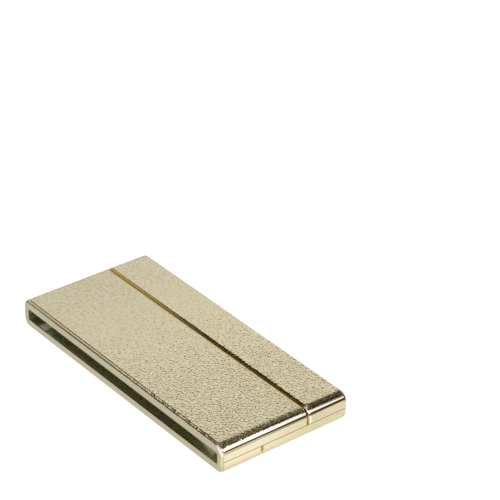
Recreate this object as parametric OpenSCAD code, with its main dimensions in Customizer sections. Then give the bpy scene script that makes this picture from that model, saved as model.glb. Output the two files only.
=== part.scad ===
// Magnetic clasp for a flat leather strap, closed
// +X runs along the leather slots, -Y is the cover half's slot side and +Z is up
// The origin is under the middle of the closed clasp, on the surface that it lies on
// Dimensions are in millimetres

/* [Leather slots] */
// Width of the leather strap
strap_w = 40; // [30:0.5:50]
// Thickness of the leather strap
strap_t = 1.5; // [1.2:0.1:2]
// Play between the leather and each end of the slot
strap_side_play = 0.35; // [0.2:0.05:0.8]
// Play between the leather and the slot in height
strap_play = 0.1; // [0.05:0.05:0.3]
// Depth of each slot
slot_depth = 4.8; // [4:0.1:7]
// Radius of the slot's corners
slot_corner_r = 0.25; // [0.1:0.05:0.4]

/* [Castings] */
// Wall between a slot and the short end face
end_wall = 1.15; // [1:0.05:1.6]
// Wall under each slot
floor_wall = 1.2; // [0.9:0.05:1.5]
// Wall over each slot, up to the pebbled top
roof_wall = 1.3; // [1.1:0.05:1.7]
// Wall between the cover half's slot and the tongue's free end
cover_back_wall = 1.3; // [1:0.1:2.2]
// Wall between the tongue half's slot and the seam
tongue_back_wall = 1.4; // [1:0.1:2.2]
// Thickness of the tongue
tongue_t = 1.95; // [1.6:0.05:2.1]
// Length of the tongue, from the seam wall to its free end
tongue_reach = 7.1; // [6.8:0.1:9]

/* [Gaps between the halves] */
// Gap at the seam on the top
seam_gap = 0.1; // [0.05:0.01:0.2]
// Gap at the tongue's free end
tip_gap = 0.1; // [0.05:0.01:0.2]
// Gap between the tongue and the cover plate over it
face_gap = 0.06; // [0.04:0.01:0.15]

/* [Edges] */
// Radius of the roundings along the short ends, seen from a slot side
end_r = 1.25; // [0.8:0.05:1.4]
// Radius all round the rim of a slot side
rim_r = 0.4; // [0.2:0.05:0.5]
// Radius all round the cover plate's edge at the seam
plate_edge_r = 0.25; // [0.1:0.05:0.4]
// Radius all round the tongue block's edge at the seam
block_edge_r = 0.4; // [0.3:0.05:0.8]
// Radius round the tongue's free end, and round the cover block's lower edge beside it
foot_r = 0.3; // [0.1:0.05:0.4]
// Radius of the tongue's top edge at its free end
tip_edge_r = 0.3; // [0.1:0.05:0.4]
// Radius of the fillet between the tongue and the seam wall
wall_foot_r = 0.15; // [0.05:0.05:0.2]
// Depth of the mould's parting line across the end faces
parting_depth = 0.05; // [0.03:0.01:0.08]
// Width of the mould's parting line
parting_w = 0.06; // [0.04:0.01:0.1]

/* [Magnets] */
// Diameter of each magnet
magnet_d = 5.5; // [4.5:0.1:5.8]
// Thickness of each magnet
magnet_t = 1; // [0.6:0.05:1.1]
// Radius of the magnet's edges
magnet_edge_r = 0.12; // [0.05:0.01:0.2]
// Distance from each short end face to the middle of the magnet next to it
magnet_inset = 8; // [7.5:0.1:9]
// How far each magnet's face lies below the face around it
magnet_recess = 0.1; // [0.05:0.01:0.2]
// Gap all round a magnet in its bore
magnet_side_gap = 0.1; // [0.05:0.01:0.15]
// Film of glue behind each magnet
glue_t = 0.03; // [0.02:0.01:0.05]
// Width of the bevel around the mouth of each magnet bore
magnet_bevel = 0.08; // [0.04:0.01:0.12]

/* [Guide pins] */
// Diameter of the guide pins
pin_d = 1.55; // [1.2:0.05:1.6]
// Height of the tongue half's pins
tongue_pin_h = 1.45; // [1:0.05:1.5]
// Height of the cover half's pins
cover_pin_h = 1.1; // [0.8:0.05:1.3]
// Height of the rounded tip of each pin
pin_dome_h = 0.55; // [0.3:0.05:0.6]
// Play all round a pin in its hole
pin_play = 0.09; // [0.05:0.01:0.1]
// Space between a pin's tip and the floor of its hole
pin_end_play = 0.2; // [0.1:0.05:0.25]
// Width of the bevel around the mouth of each pin hole
hole_bevel = 0.1; // [0.05:0.01:0.15]
// Distance from each short end face to the middle of the pin next to it
pin_inset = 3; // [2.5:0.1:3.2]
// Distance between the row of pins and the row of holes of a half
pin_rows = 3.9; // [3.6:0.1:4.2]

/* [Hidden] */
$fn = 48;
left = -1;
right = 1;
// How far a cut runs past the face that it opens
past = 1;
// How far pieces of one casting run into each other
merge = 0.3;
// How far the tongue, and the cover plate, run into the block that carries them
lug_root = 0.8;

slot_w = strap_w + 2 * strap_side_play;
slot_h = strap_t + strap_play;
width = slot_w + 2 * end_wall;
height = floor_wall + slot_h + roof_wall;
cover_block_d = slot_depth + cover_back_wall;
tongue_block_d = slot_depth + tongue_back_wall;
depth = cover_block_d + tip_gap + tongue_reach + tongue_block_d;

// Places along Y, from the cover half's slot to the tongue half's slot
y_cover_slot = -depth / 2;
y_cover_wall = y_cover_slot + cover_block_d;
y_tip = y_cover_wall + tip_gap;
y_tongue_wall = y_tip + tongue_reach;
y_seam = y_tongue_wall - seam_gap;
y_tongue_slot = depth / 2;
y_magnets = (y_tip + y_tongue_wall) / 2;
y_tongue_pins = y_magnets + pin_rows / 2;
y_cover_pins = y_magnets - pin_rows / 2;

// Heights
z_tongue = tongue_t;
z_cover = tongue_t + face_gap;
z_parting = tongue_t + face_gap / 2;

magnet_spacing = width - 2 * magnet_inset;
pin_spacing = width - 2 * pin_inset;
hole_d = pin_d + 2 * pin_play;
magnet_bore_d = magnet_d + 2 * magnet_side_gap;
magnet_bore_depth = magnet_recess + magnet_t + glue_t;
gold = [0.86, 0.8, 0.62];
nickel = [0.76, 0.77, 0.74];

// Material outside a rounding at the origin, whose arc bulges towards -X and -Y
module outside_of_corner(r) {
  difference() {
    translate([-past, -past])
      square(r + past);
    translate([r, r])
      circle(r);
  }
}

// Rectangle from its low to its high corner, with a radius for each corner
// The radii go round from the low corner: low left, low right, high right, high left
module rounded_outline(low, high, radii) {
  corners = [low, [high.x, low.y], high, [low.x, high.y]];
  difference() {
    translate(low)
      square(high - low);
    for (i = [0 : 3])
      translate(corners[i])
        rotate(90 * i)
          outside_of_corner(radii[i]);
  }
}

// Extrudes an outline drawn in X and Z along Y
module along_y(y_low, y_high) {
  translate([0, y_high, 0])
    rotate([90, 0, 0])
      linear_extrude(y_high - y_low)
        children();
}

// Extrudes an outline drawn in Y and Z along X, to the same length on both sides
module along_x(length) {
  translate([-length / 2, 0, 0])
    rotate([90, 0, 90])
      linear_extrude(length)
        children();
}

// Extrudes an outline drawn in X and Y upwards
module along_z(z_low, z_high) {
  translate([0, 0, z_low])
    linear_extrude(z_high - z_low)
      children();
}

// Block as wide and high as the clasp, with a radius all round its rim at each of its two Y
module block(y_low, y_high, r_low, r_high) {
  along_x(width - 2 * end_r)
    rounded_outline([y_low, 0], [y_high, height], [r_low, r_high, r_high, r_low]);
  along_z(end_r, height - end_r)
    rounded_outline([-width / 2, y_low], [width / 2, y_high], [r_low, r_low, r_high, r_high]);
  for (side = [left, right], z = [end_r, height - end_r])
    translate([side * (width / 2 - end_r), y_low, z])
      rotate([-90, 0, 0])
        rotate_extrude()
          rounded_outline([0, 0], [end_r, y_high - y_low], [0, r_low, r_high, 0]);
}

// Slot for the leather, open at the Y given, and running from there towards side
module leather_slot(y_mouth, side) {
  y_floor = y_mouth + side * slot_depth;
  y_open = y_mouth - side * past;
  along_y(min(y_floor, y_open), max(y_floor, y_open))
    rounded_outline([-slot_w / 2, floor_wall], [slot_w / 2, floor_wall + slot_h],
                    [slot_corner_r, slot_corner_r, slot_corner_r, slot_corner_r]);
}

// Fine line that the mould leaves across both end faces of a block
module parting_line(y_low, y_high) {
  for (side = [left, right])
    translate([side * width / 2, (y_low + y_high) / 2, z_parting])
      cube([2 * parting_depth, y_high - y_low, parting_w], center = true);
}

// Blind hole that opens upwards at the origin, with a bevelled mouth
module blind_hole(d, hole_depth, bevel) {
  translate([0, 0, -hole_depth])
    cylinder(d = d, h = hole_depth + past);
  translate([0, 0, -bevel])
    cylinder(d1 = d, d2 = d + 2 * (bevel + merge), h = bevel + merge);
}

// Guide pin that stands on the origin, with a rounded tip, and roots in the casting
module guide_pin(h) {
  r = pin_d / 2;
  dome_r = (r * r + pin_dome_h * pin_dome_h) / (2 * pin_dome_h);
  translate([0, 0, -merge])
    cylinder(r = r, h = merge + h - pin_dome_h);
  intersection() {
    translate([0, 0, h - pin_dome_h])
      cylinder(r = r, h = pin_dome_h);
    translate([0, 0, h - dome_r])
      sphere(dome_r);
  }
}

// The two places of a row along X
module pair(spacing) {
  for (side = [left, right])
    translate([side * spacing / 2, 0, 0])
      children();
}

// Cuts of a face that looks up at the origin: the magnet bores and the pin holes
module face_cuts(y_holes, pin_h) {
  translate([0, y_magnets, 0])
    pair(magnet_spacing)
      blind_hole(magnet_bore_d, magnet_bore_depth, magnet_bevel);
  translate([0, y_holes, 0])
    pair(pin_spacing)
      blind_hole(hole_d, pin_h + pin_end_play - face_gap, hole_bevel);
}

// Disc magnet that stands on the origin, with rounded edges
module magnet() {
  rotate_extrude()
    rounded_outline([0, 0], [magnet_d / 2, magnet_t], [0, magnet_edge_r, magnet_edge_r, 0]);
}

// Half that carries the tongue: a block with its slot at +Y and the tongue towards -Y
module tongue_half() {
  color(gold) {
    difference() {
      union() {
        block(y_tongue_wall, y_tongue_slot, block_edge_r, rim_r);
        intersection() {
          block(y_tip, y_tongue_wall + lug_root, foot_r, 0);
          along_x(width)
            rounded_outline([y_tip, 0], [y_tongue_wall + lug_root, z_tongue], [0, 0, 0, tip_edge_r]);
        }
        along_x(width - 2 * block_edge_r)
          translate([y_tongue_wall, z_tongue])
            rotate(90)
              intersection() {
                outside_of_corner(wall_foot_r);
                translate([-merge, -merge])
                  square(wall_foot_r + merge);
              }
      }
      leather_slot(y_tongue_slot, -1);
      translate([0, 0, z_tongue])
        face_cuts(y_cover_pins, cover_pin_h);
      parting_line(y_tongue_wall, y_tongue_slot);
    }
    translate([0, y_tongue_pins, z_tongue])
      pair(pin_spacing)
        guide_pin(tongue_pin_h);
  }
}

// Half that covers the tongue: a block with its slot at -Y and a plate out to the seam
module cover_half() {
  color(gold) {
    difference() {
      union() {
        block(y_cover_slot, y_cover_wall, rim_r, foot_r);
        intersection() {
          block(y_cover_wall - lug_root, y_seam, 0, plate_edge_r);
          along_x(width)
            rounded_outline([y_cover_wall - lug_root, z_cover], [y_seam, height],
                            [0, plate_edge_r, 0, 0]);
        }
      }
      leather_slot(y_cover_slot, 1);
      translate([0, 0, z_cover])
        mirror([0, 0, 1])
          face_cuts(y_tongue_pins, tongue_pin_h);
      parting_line(y_cover_slot, y_cover_wall);
    }
    translate([0, y_cover_pins, z_cover])
      mirror([0, 0, 1])
        pair(pin_spacing)
          guide_pin(cover_pin_h);
  }
}

// Magnet in the tongue, looking up
module tongue_magnet(side) {
  color(nickel)
    translate([side * magnet_spacing / 2, y_magnets, z_tongue - magnet_recess - magnet_t])
      magnet();
}

// Magnet in the cover plate, looking down
module cover_magnet(side) {
  color(nickel)
    translate([side * magnet_spacing / 2, y_magnets, z_cover + magnet_recess])
      magnet();
}

module tongue_magnet_left() {
  tongue_magnet(left);
}

module tongue_magnet_right() {
  tongue_magnet(right);
}

module cover_magnet_left() {
  cover_magnet(left);
}

module cover_magnet_right() {
  cover_magnet(right);
}

tongue_half();
cover_half();
tongue_magnet_left();
tongue_magnet_right();
cover_magnet_left();
cover_magnet_right();
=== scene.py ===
"""Looks of the magnetic leather clasp: pale gold plating with a pebbled top, and dull nickel magnets.
The clasp lies closed on a pale floor. Metres, in the frame of the CAD model."""
import math

import bpy
from mathutils import Matrix, Vector

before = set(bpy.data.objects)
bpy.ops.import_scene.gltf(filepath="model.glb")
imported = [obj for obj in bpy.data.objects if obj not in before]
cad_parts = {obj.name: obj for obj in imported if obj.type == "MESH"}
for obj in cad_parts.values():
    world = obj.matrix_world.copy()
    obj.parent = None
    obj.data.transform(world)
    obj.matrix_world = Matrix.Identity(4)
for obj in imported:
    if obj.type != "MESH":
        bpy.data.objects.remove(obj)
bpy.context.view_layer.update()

mm = 0.001

# Cover half: one zinc alloy die casting, plated in pale champagne gold. The mould gives its top
# a fine pebbled grain that runs out in the rounding of the short ends. The slot's rim, the end
# faces and the underside are polished, and the slot for the leather keeps a dull casting skin.


class Tone:
    """A value that varies over a surface. Expressions on it add their Math nodes."""

    def __init__(self, finish, socket):
        self.finish, self.socket = finish, socket

    def _maths(self, operation, *values):
        return self.finish.add("ShaderNodeMath", {"operation": operation}, dict(enumerate(values)))

    def __add__(self, other):
        return self._maths("ADD", self, other)

    __radd__ = __add__

    def __sub__(self, other):
        return self._maths("SUBTRACT", self, other)

    def __rsub__(self, other):
        return self._maths("SUBTRACT", other, self)

    def __mul__(self, other):
        return self._maths("MULTIPLY", self, other)

    __rmul__ = __mul__

    def __abs__(self):
        return self._maths("ABSOLUTE", self)

    def most(self, other):
        return self._maths("MAXIMUM", self, other)

    def root(self):
        return self._maths("SQRT", self)

    def rises(self, low, high):
        """0 below low and 1 above high, with a soft change between them"""
        return self.finish.add("ShaderNodeMapRange", {"interpolation_type": "SMOOTHSTEP"},
                               {"Value": self, "From Min": low, "From Max": high})

    def falls(self, low, high):
        return 1 - self.rises(low, high)

    def within(self, low, high, soft):
        """1 between low and high, and 0 outside them"""
        return self.rises(low - soft, low) * self.falls(high, high + soft)


class Finish:
    """The nodes of one finish or light. Lengths on a surface are millimetres."""

    def __init__(self, tree):
        self.tree = tree
        tree.nodes.clear()

    def add(self, kind, settings, sockets, out=0):
        node = self.tree.nodes.new(kind)
        for name, value in settings.items():
            setattr(node, name, value)
        for key, value in sockets.items():
            if isinstance(value, Tone):
                self.tree.links.new(value.socket, node.inputs[key])
            else:
                node.inputs[key].default_value = value
        if isinstance(out, tuple):
            return [Tone(self, node.outputs[name]) for name in out]
        return Tone(self, node.outputs[out]) if len(node.outputs) else node

    def place(self):
        """Where a point lies on its piece, as X, Y and Z, and as one vector"""
        metres = self.add("ShaderNodeTexCoord", {}, {}, "Object")
        where = self.add("ShaderNodeVectorMath", {"operation": "SCALE"},
                         {"Vector": metres, "Scale": 1 / mm}, "Vector")
        return *self.add("ShaderNodeSeparateXYZ", {}, {"Vector": where}, ("X", "Y", "Z")), where

    def grain(self, where, size, detail):
        """Irregular grain about 0.5 high on average, whose grains are size wide"""
        return self.add("ShaderNodeTexNoise", {},
                        {"Vector": where, "Scale": 1 / size, "Detail": detail}, "Fac")

    def tint(self, share, low, high):
        """Colour low where share is 0, and high where it is 1"""
        return self.add("ShaderNodeMix", {"data_type": "RGBA", "clamp_factor": True},
                        {0: share, 6: low if isinstance(low, Tone) else (*low, 1),
                         7: high if isinstance(high, Tone) else (*high, 1)}, 2)

    def relief(self, height, depth, under=None):
        """Surface tilt of a relief, whose height of 1 stands for depth"""
        sockets = {"Strength": 1.0, "Distance": depth * mm, "Height": height}
        if under is not None:
            sockets["Normal"] = under
        return self.add("ShaderNodeBump", {}, sockets, "Normal")


def new_finish(name):
    material = bpy.data.materials.new(name)
    material.use_nodes = True
    return material, Finish(material.node_tree)


def coat(node, material):
    """Gives every face of a CAD node the material"""
    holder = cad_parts[node]
    holder.data.materials.clear()
    holder.data.materials.append(material)


GOLD = (0.93, 0.835, 0.575)         # polished plating
GOLD_DEEP = (0.86, 0.65, 0.19)      # random deeper tone of the plating, painted reflection where the halves mirror each other, and painted shade in their gaps
GOLD_END = (0.82, 0.745, 0.51)      # painted shade on the end faces, beside the cover half's slot, and deeper further along
GOLD_END_FAR = (0.68, 0.60, 0.39)
GOLD_RIM = (0.46, 0.42, 0.285)      # rim around the leather slot, rougher, and darker by painted shade
GOLD_LOW = (0.53, 0.45, 0.24)       # painted shade at the foot of the end faces
GOLD_TOP_TONE = (0.46, 0.415, 0.29)     # tone of the pebbled top, darker towards its left end
GOLD_GLEAM = (1.0, 0.93, 0.78)      # painted highlight: bright edge beside the seam, spark at the block's corner, and at the near corner
GOLD_DARK = (0.13, 0.10, 0.05)      # dark colour: specks on the end faces, patina in the top's pits that is partly painted shade, and painted shade in the lines along the edges and at the slot's lip
GOLD_DARK_REFLECTION = (0.03, 0.024, 0.012)   # painted dark reflection, darkest, over the bright line of the rounding
GOLD_SEAM = (0.11, 0.074, 0.016)    # painted shade on the edge along the seam, and painted dark reflection in the ends' rounding
GOLD_SLOT = (0.57, 0.56, 0.355)     # casting skin inside the leather slot, and painted light on it
GOLD_SLOT_LIT = (0.88, 0.95, 0.77)

HALF_LENGTH = 21.5      # sizes of the closed clasp, in millimetres like the places in the masks
TOP = 4.1
MOUTH = 9.75            # outer faces of the halves, in which the leather slots open
SLOT_FLOOR = 4.95
SLOT_LOW, SLOT_HIGH = 1.15, 2.85
PARTING = 1.98          # line of the mould's halves, at the height of the plate's underside
SEAM, TIP = 3.5, -3.6   # middles of the gaps at the top's seam and at the tongue's free end
END_R = 1.25            # rounding along the short ends


def dark_lines(x, y, z, out, fine, haze):
    """Painted shade in the lines along the edges: the share of the dark colour along the slot's side,
    at its corners, on the parting line and below the right end's bright line, and the share of
    the darkest painted reflection above that bright line"""
    beside_slot = (z - x * 0.0062 + (fine - 0.5) * x.rises(-12, 5) * 0.5).within(3.775, 3.915, 0.05) \
        * out.rises(MOUTH - 0.32, MOUTH - 0.25) \
        * (0.7 + haze * 0.4) * x.falls(19.8, 20.5) * (0.7 + x.rises(-19, -12) * 0.3)
    past_end = (abs(x) - (HALF_LENGTH - END_R)).most(0)
    past_height = (abs(z - TOP / 2) - (TOP / 2 - END_R)).most(0)
    inset = END_R - (past_end * past_end + past_height * past_height).root()
    corners = (x.within(HALF_LENGTH - 0.14, HALF_LENGTH - 0.06, 0.05) * z.falls(3.0, 3.6)
               + x.falls(-20.7, -20.3) * inset.falls(0.36, 0.42) * 0.4) \
        * out.rises(MOUTH - 0.28, MOUTH - 0.2)
    parting = z.within(PARTING - 0.03, PARTING + 0.03, 0.03) \
        * abs(x).rises(HALF_LENGTH - 0.08, HALF_LENGTH - 0.04)
    below = (z - y * 0.012).rises(3.06, 3.14) * (z - y * 0.011).falls(3.38, 3.46) \
        * x.rises(20.9, 21.1) * (0.45 + y.rises(-5, 4) * 0.45)
    above = (z + y * 0.014).rises(3.73, 3.81) * z.falls(3.88, 3.96) \
        * x.rises(20.5, 20.7) * y.rises(-8, -2) * 0.85
    faint = x.rises(20.7, 20.9) * z.within(3.4, 3.85, 0.05) * y.rises(-3, 2) * 0.25
    return beside_slot + corners * 0.3 + parting * 0.7 + below, above.most(faint)


def gold_half(name, side, rim_start, seam):
    """Gold plating of the half whose slot looks towards side times +Y, with its polished rim from
    rim_start outwards. seam gives the shares of its three colours along the seam: painted reflection and
    shade, painted dark line and band, and painted highlight."""
    material, gold = new_finish(name)
    x, y, z, where = gold.place()
    out, length = y * side, abs(x)
    haze = gold.grain(where, 3.5, 3.0)
    cloud = gold.grain(where, 1.1, 2.0)
    fine = gold.grain(where, 0.26, 1.0)

    # Pebbled top, whose grain is softer towards the left and whose tone darkens there in blotches, with
    # dark pits between: patina in the pits, together with painted shade in them, strongest at the near
    # right.
    pebbled = z.rises(TOP - 0.5, TOP - 0.2) * out.falls(MOUTH - 0.36, MOUTH - 0.16)
    left = x.falls(-18, 12)
    blotch = gold.grain(where, 0.45, 1.0).falls(0.35, 0.6) * left
    pits = fine.falls(0.30, 0.42) * pebbled * (0.4 + haze * 1.2) \
        * (0.42 - left * 0.34 + out.rises(8.9, 9.3) * x.rises(-2, 10) * 0.4)

    # End faces, darkened by painted shade that deepens towards their far end, painted shade at their foot,
    # and the specks at their far end.
    end = length.rises(HALF_LENGTH - 0.16, HALF_LENGTH - 0.08)
    foot = length.rises(20.4, 20.8) * (z + y * 0.03).falls(0.3, 1.5)
    specks = end * y.rises(3.5, 4.5) * fine.falls(0.27, 0.42)

    # The leather slot: its rim, with painted shade; its dull walls, with painted light as lighter, less
    # metallic patches in two places and towards the left; and painted shade at its lip and its left end.
    rim = out.rises(rim_start, rim_start + 0.1)
    dull = out.rises(SLOT_FLOOR - 0.05, SLOT_FLOOR + 0.05) * out.falls(MOUTH - 0.3, MOUTH - 0.05) \
        * z.within(SLOT_LOW, SLOT_HIGH, 0.04) * length.falls(20.39, 20.43)
    lit_patch_left = dull * x.within(-17.9, -17.1, 0.6) * y.falls(-8.0, -7.5)
    lit_patch_right = dull * x.within(13.0, 18.3, 0.5) * (y + x * 0.22).rises(-5.3, -4.8) * y.falls(-8.0, -7.5)
    slot_light = x.falls(-20, -8) * 0.2 + lit_patch_left * 0.8 + lit_patch_right * 0.6
    lip = out.rises(MOUTH - 0.1, MOUTH - 0.05) * z.within(SLOT_LOW - 0.07, SLOT_HIGH + 0.07, 0.06) \
        * length.falls(20.46, 20.54)
    lip = lip.most(rim * x.within(-21.0, -20.4, 0.15) * 0.5).most(dull * x.falls(-19.2, -18.4))

    lines, dark_reflection = dark_lines(x, y, z, out, fine, haze)
    deep, painted_dark, gleam = seam(x, y, z, (fine - 0.5) * x.rises(-14, 4))
    colour = gold.tint(haze.rises(0.35, 0.7) * 0.12, GOLD, GOLD_DEEP)
    for share, over in (
            # painted shade on the end faces, deeper further along, and painted shade at their foot
            (end, gold.tint(y.rises(-6, 5), GOLD_END, GOLD_END_FAR)),
            (foot * 0.8, GOLD_LOW),
            (specks * 0.27, GOLD_DARK),
            # painted shade on the slot's rim, thinning out at the near right corner as a painted highlight
            (rim * (1 - x.rises(20.9, 21.2) * (0.6 + z.rises(3.0, 3.2) * 0.35)), GOLD_RIM),
            (pebbled * (0.07 + left * (0.32 - y.rises(3, 4) * 0.07 + blotch * 0.3)), GOLD_TOP_TONE),
            # patina and painted shade in the pits
            (pits, GOLD_DARK),
            # painted reflection where the halves mirror each other, and painted shade in their gaps
            (deep, GOLD_DEEP),
            # painted shade in the lines along the edges and on the parting line
            (lines, GOLD_DARK),
            # painted dark reflection over the rounding's bright line
            (dark_reflection, GOLD_DARK_REFLECTION),
            # painted shade along the seam, and painted dark reflection in the ends' rounding
            (painted_dark, GOLD_SEAM),
            # painted highlight
            (gleam, GOLD_GLEAM),
            # painted light on the slot's walls
            (dull, gold.tint(slot_light, GOLD_SLOT, GOLD_SLOT_LIT)),
            # painted shade at the slot's lip and its left end
            (lip * 0.25, GOLD_DARK)):
        colour = gold.tint(share, colour, over)
    rough = 0.05 + haze * 0.04 + pebbled * cloud * 0.04 + deep * 0.4 + dull * 0.35 + rim * 0.08 \
        + out.rises(9.3, 9.4) * left * 0.12
    swell = gold.relief(cloud, 0.003)
    pebbles = gold.relief(fine * pebbled * (1 - left * 0.75 + length.rises(19.6, 20.4) * 0.3), 0.051, swell)
    skin = gold.relief(gold.grain(where, 0.12, 2.0) * dull, 0.012, pebbles)
    shader = gold.add("ShaderNodeBsdfPrincipled", {},
                      {"Base Color": colour, "Metallic": 1 - lit_patch_left * 0.55 - lit_patch_right * 0.95,
                       "Roughness": rough, "Normal": skin})
    gold.add("ShaderNodeOutputMaterial", {}, {"Surface": shader})
    return material


def cover_seam(x, y, z, _ragged):
    """Plate's edge along the seam, and the block's edge beside the tongue's free end: the shares
    of the deep gold of painted reflection and painted shade, of the painted dark line and dark band, and of
    the painted highlight. Its edge is straight."""
    under_plate = z.falls(PARTING - 0.08, PARTING + 0.02)
    # painted reflection of the block on the plate's rounded edge by the seam, and painted shade in the gaps
    # by the tip and on the end faces
    rounding = y.rises(SEAM - 0.5, SEAM - 0.24) * (0.3 + z.rises(3.6, 3.8) * 0.7)
    # painted shade in the seam's line and at its end, and a painted dark reflection band in the end's
    # rounding
    edge = y.rises(SEAM - 0.18, SEAM - 0.1) * z.rises(3.2, 3.6) * (0.02 + x.rises(-12, 18) * 0.22)
    edge_end = y.rises(SEAM - 0.3, SEAM - 0.2) * x.rises(20.5, 20.9) * z.rises(3.2, 3.4)
    by_tip = y.rises(TIP - 0.3, TIP - 0.15) * under_plate
    at_end = abs(x).rises(21.2, 21.35) \
        * (y.rises(SEAM - 0.55, SEAM - 0.2) + y.within(TIP - 0.3, TIP, 0.1) * under_plate)
    band = x.rises(19.8, 20.2) * x.falls(20.75, 20.9) * z.rises(3.7, 3.8) * (0.10 + y.falls(-2, 1) * 0.16)
    # painted highlight at the near corner
    near_corner = x.within(20.3, 21.3, 0.2) * y.falls(-9.45, -9.35) * z.within(2.9, 3.95, 0.1) \
        * (x + z).rises(23.9, 24.2)
    return rounding.most(by_tip * 0.5).most(at_end * 0.8), \
        edge.most(edge_end * 0.9).most(at_end * 0.22).most(band), near_corner


coat("cover_half", gold_half("pale_gold_cover", -1, MOUTH - 0.17, cover_seam))

# Tongue half: the same alloy and plating, cast in one piece with the tongue that lies under the
# cover plate. The tongue and its wall are mirror polished, and the block's top is pebbled.


def tongue_seam(x, y, z, ragged):
    """Block's edge along the seam, with its ragged dark line of painted shade, and the tongue's free end:
    the shares of the deep gold of painted reflection and painted shade, of the painted dark line and dark
    band, and of the painted highlight"""
    over_tongue = z.rises(PARTING - 0.03, PARTING + 0.07)
    # painted reflection on the wall facing the plate, and painted shade in the gaps at the seam and at the
    # tongue's free end
    wall = y.within(SEAM, SEAM + 0.1, 0.1) * over_tongue
    tip = y.falls(TIP + 0.15, TIP + 0.3)
    # painted shade in the seam's ragged line and at the far corner, and a painted dark reflection band in
    # the end's rounding
    edge = y.rises(SEAM - 0.04, SEAM + 0.06) * (y + ragged * 0.9).falls(SEAM + 0.4, SEAM + 0.54) \
        * z.rises(3.2, 3.6) * x.falls(20.2, 20.5)
    line = edge * (0.04 + x.rises(-17, 2) * 0.93
                   + y.falls(SEAM + 0.12, SEAM + 0.2) * x.falls(-17, 2) * 0.4)
    far_corner = y.rises(9.3, 9.42) * x.rises(20.5, 21.0) * z.rises(2.9, 3.3)
    band = y.rises(SEAM + 0.6, SEAM + 1) * x.within(20.4, 21.0, 0.2) * z.rises(3.5, 3.6)
    at_end = abs(x).rises(21.2, 21.35)
    shade = at_end * (y.within(SEAM, SEAM + 0.16, 0.05) * over_tongue + tip * 0.7)
    # painted highlight beside the seam, and a painted spark at the block's corner
    gleam = at_end * y.within(SEAM + 0.33, SEAM + 0.41, 0.08) * z.within(2.05, 3.1, 0.1)
    spark = x.rises(20.3, 20.5) * y.within(SEAM + 0.1, SEAM + 0.35, 0.05) * z.rises(3.2, 3.4)
    return (wall.most(tip) * 0.35).most(shade).most(edge * x.falls(-14, 4) * 0.8), \
        line.most(far_corner * 0.9).most(band * 0.5).most(shade * 0.25), gleam.most(spark)


coat("tongue_half", gold_half("pale_gold_tongue", 1, MOUTH - 0.33, tongue_seam))

# Four disc magnets: pressed neodymium with a dull nickel coat, glued in the bores of the halves
# with their faces just below the metal around them.

NICKEL = (0.80, 0.81, 0.77)
NICKEL_DULL = (0.66, 0.66, 0.62)


def nickel_finish():
    material, nickel = new_finish("dull_nickel")
    *_, where = nickel.place()
    mottle = nickel.grain(where, 0.9, 3.0)
    fine = nickel.grain(where, 0.08, 2.0)
    shader = nickel.add("ShaderNodeBsdfPrincipled", {},
                        {"Base Color": nickel.tint(mottle.rises(0.38, 0.64), NICKEL_DULL, NICKEL),
                         "Metallic": 1.0, "Roughness": 0.42 + mottle * 0.15 + fine * 0.08,
                         "Normal": nickel.relief(fine, 0.004)})
    nickel.add("ShaderNodeOutputMaterial", {}, {"Surface": shader})
    return material


nickel_plate = nickel_finish()
for half in ("tongue", "cover"):
    for side in ("left", "right"):
        coat(f"{half}_magnet_{side}", nickel_plate)

# Floor: a sheet of milky white acrylic, lit from below so that no shadow shows on it, with
# a fine matt tooth. It is much larger than the clasp.

ACRYLIC = (0.30, 0.30, 0.295)
ACRYLIC_PALE = (0.34, 0.34, 0.335)

bpy.ops.mesh.primitive_grid_add(x_subdivisions=8, y_subdivisions=8, size=4)
floor = bpy.context.object
floor.name = "floor"
white_board, board = new_finish("white_board")
*_, where = board.place()
tooth = board.grain(where, 1.5, 3.0)
shader = board.add("ShaderNodeBsdfPrincipled", {},
                   {"Base Color": board.tint(tooth, ACRYLIC, ACRYLIC_PALE),
                    "Roughness": 0.9, "Specular IOR Level": 0.1,
                    "Emission Color": (1, 1, 1, 1), "Emission Strength": 0.9,
                    "Normal": board.relief(tooth, 0.01)})
board.add("ShaderNodeOutputMaterial", {}, {"Surface": shader})
floor.data.materials.append(white_board)

# Light tent: white walls all round with a dark roof that is open in the middle. The walls are
# brightest beyond the right end and at the near right, and reach lower behind the clasp, where
# its top mirrors them. The lamp over the opening lights the floor alone.

BROWN = (1.0, 0.80, 0.50)
WHITE = (1.0, 1.0, 1.0)
COOL = (0.77, 0.81, 1.0)
ROOF_GLOW = 0.12
WALL_GLOW = 0.72
BRIGHT_GLOW = 1.12
LOW_GLOW = 0.4
NEAR_GLOW = 0.9
OPENING_GLOW = 0.55

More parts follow.
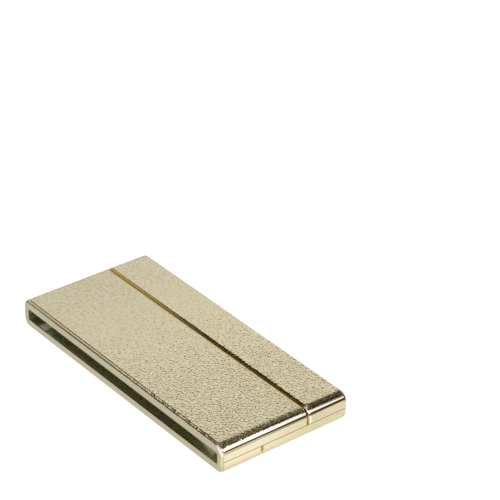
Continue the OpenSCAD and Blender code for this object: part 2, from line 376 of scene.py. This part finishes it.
tent_world = bpy.data.worlds.new("light_tent")
bpy.context.scene.world = tent_world
tent_world.use_nodes = True
tent = Finish(tent_world.node_tree)
aim = tent.add("ShaderNodeTexCoord", {}, {}, "Generated")
x, y, z = tent.add("ShaderNodeSeparateXYZ", {}, {"Vector": aim}, ("X", "Y", "Z"))
beyond = x * 0.64 + y * 0.77
bright = beyond.rises(0.45, 0.70)
behind = (y * 0.73 - x * 0.68).rises(0.5, 0.8)
near_right = (x * 0.8 - y * 0.45).rises(0.45, 0.70)
walls = z.rises(0.25, 0.31).most(behind) * (z + beyond.rises(0.1, 0.6) * 0.045).falls(0.61, 0.65)
opening = z.rises(0.90, 0.96)
seen = tent.add("ShaderNodeLightPath", {}, {}, "Is Camera Ray")
wall_glow = WALL_GLOW + (z - 0.54) * 0.64 + bright * BRIGHT_GLOW \
    + behind * z.falls(0.05, 0.25) * LOW_GLOW + near_right * NEAR_GLOW
strength = (ROOF_GLOW + walls * wall_glow + opening * OPENING_GLOW) * (1 - seen) + seen
colour = tent.tint(walls.most(opening), BROWN, tent.tint(bright, WHITE, COOL))
glow = tent.add("ShaderNodeBackground", {},
                {"Color": tent.tint(seen, colour, WHITE), "Strength": strength})
tent.add("ShaderNodeOutputWorld", {}, {"Surface": glow})

lamp_data = bpy.data.lights.new("overhead_lamp", "AREA")
lamp_data.size = 0.5
lamp_data.energy = 0.5
lamp = bpy.data.objects.new("overhead_lamp", lamp_data)
lamp.location = (0, 0, 0.5)
lamp.visible_glossy = False
bpy.context.collection.objects.link(lamp)

# Camera: looks down on the near right corner of the clasp from the cover half's side, and takes
# in the whole of the photograph's frame.

TURN, RISE, ROLL = math.radians(51.25), math.radians(30.68), math.radians(0.87)
FOCAL_LENGTH, FRAME_WIDTH = 2300.4, 500     # in pixels of the photograph
SENSOR_WIDTH = 36

back = Vector((math.sin(TURN) * math.cos(RISE), -math.cos(TURN) * math.cos(RISE), math.sin(RISE)))
level = Vector((math.cos(TURN), math.sin(TURN), 0))
upright = back.cross(level)
across = math.cos(ROLL) * level + math.sin(ROLL) * upright
up = -math.sin(ROLL) * level + math.cos(ROLL) * upright
lens = bpy.data.cameras.new("camera")
lens.sensor_width = SENSOR_WIDTH
lens.lens = FOCAL_LENGTH / FRAME_WIDTH * SENSOR_WIDTH
lens.clip_start = 0.01
camera = bpy.data.objects.new("camera", lens)
spot = (8.941 * across + 15.483 * up + 295.9 * back) * mm
camera.matrix_world = Matrix.Translation(spot) @ Matrix((across, up, back)).transposed().to_4x4()
bpy.context.collection.objects.link(camera)
bpy.context.scene.camera = camera
bpy.context.scene.view_settings.view_transform = "Standard"
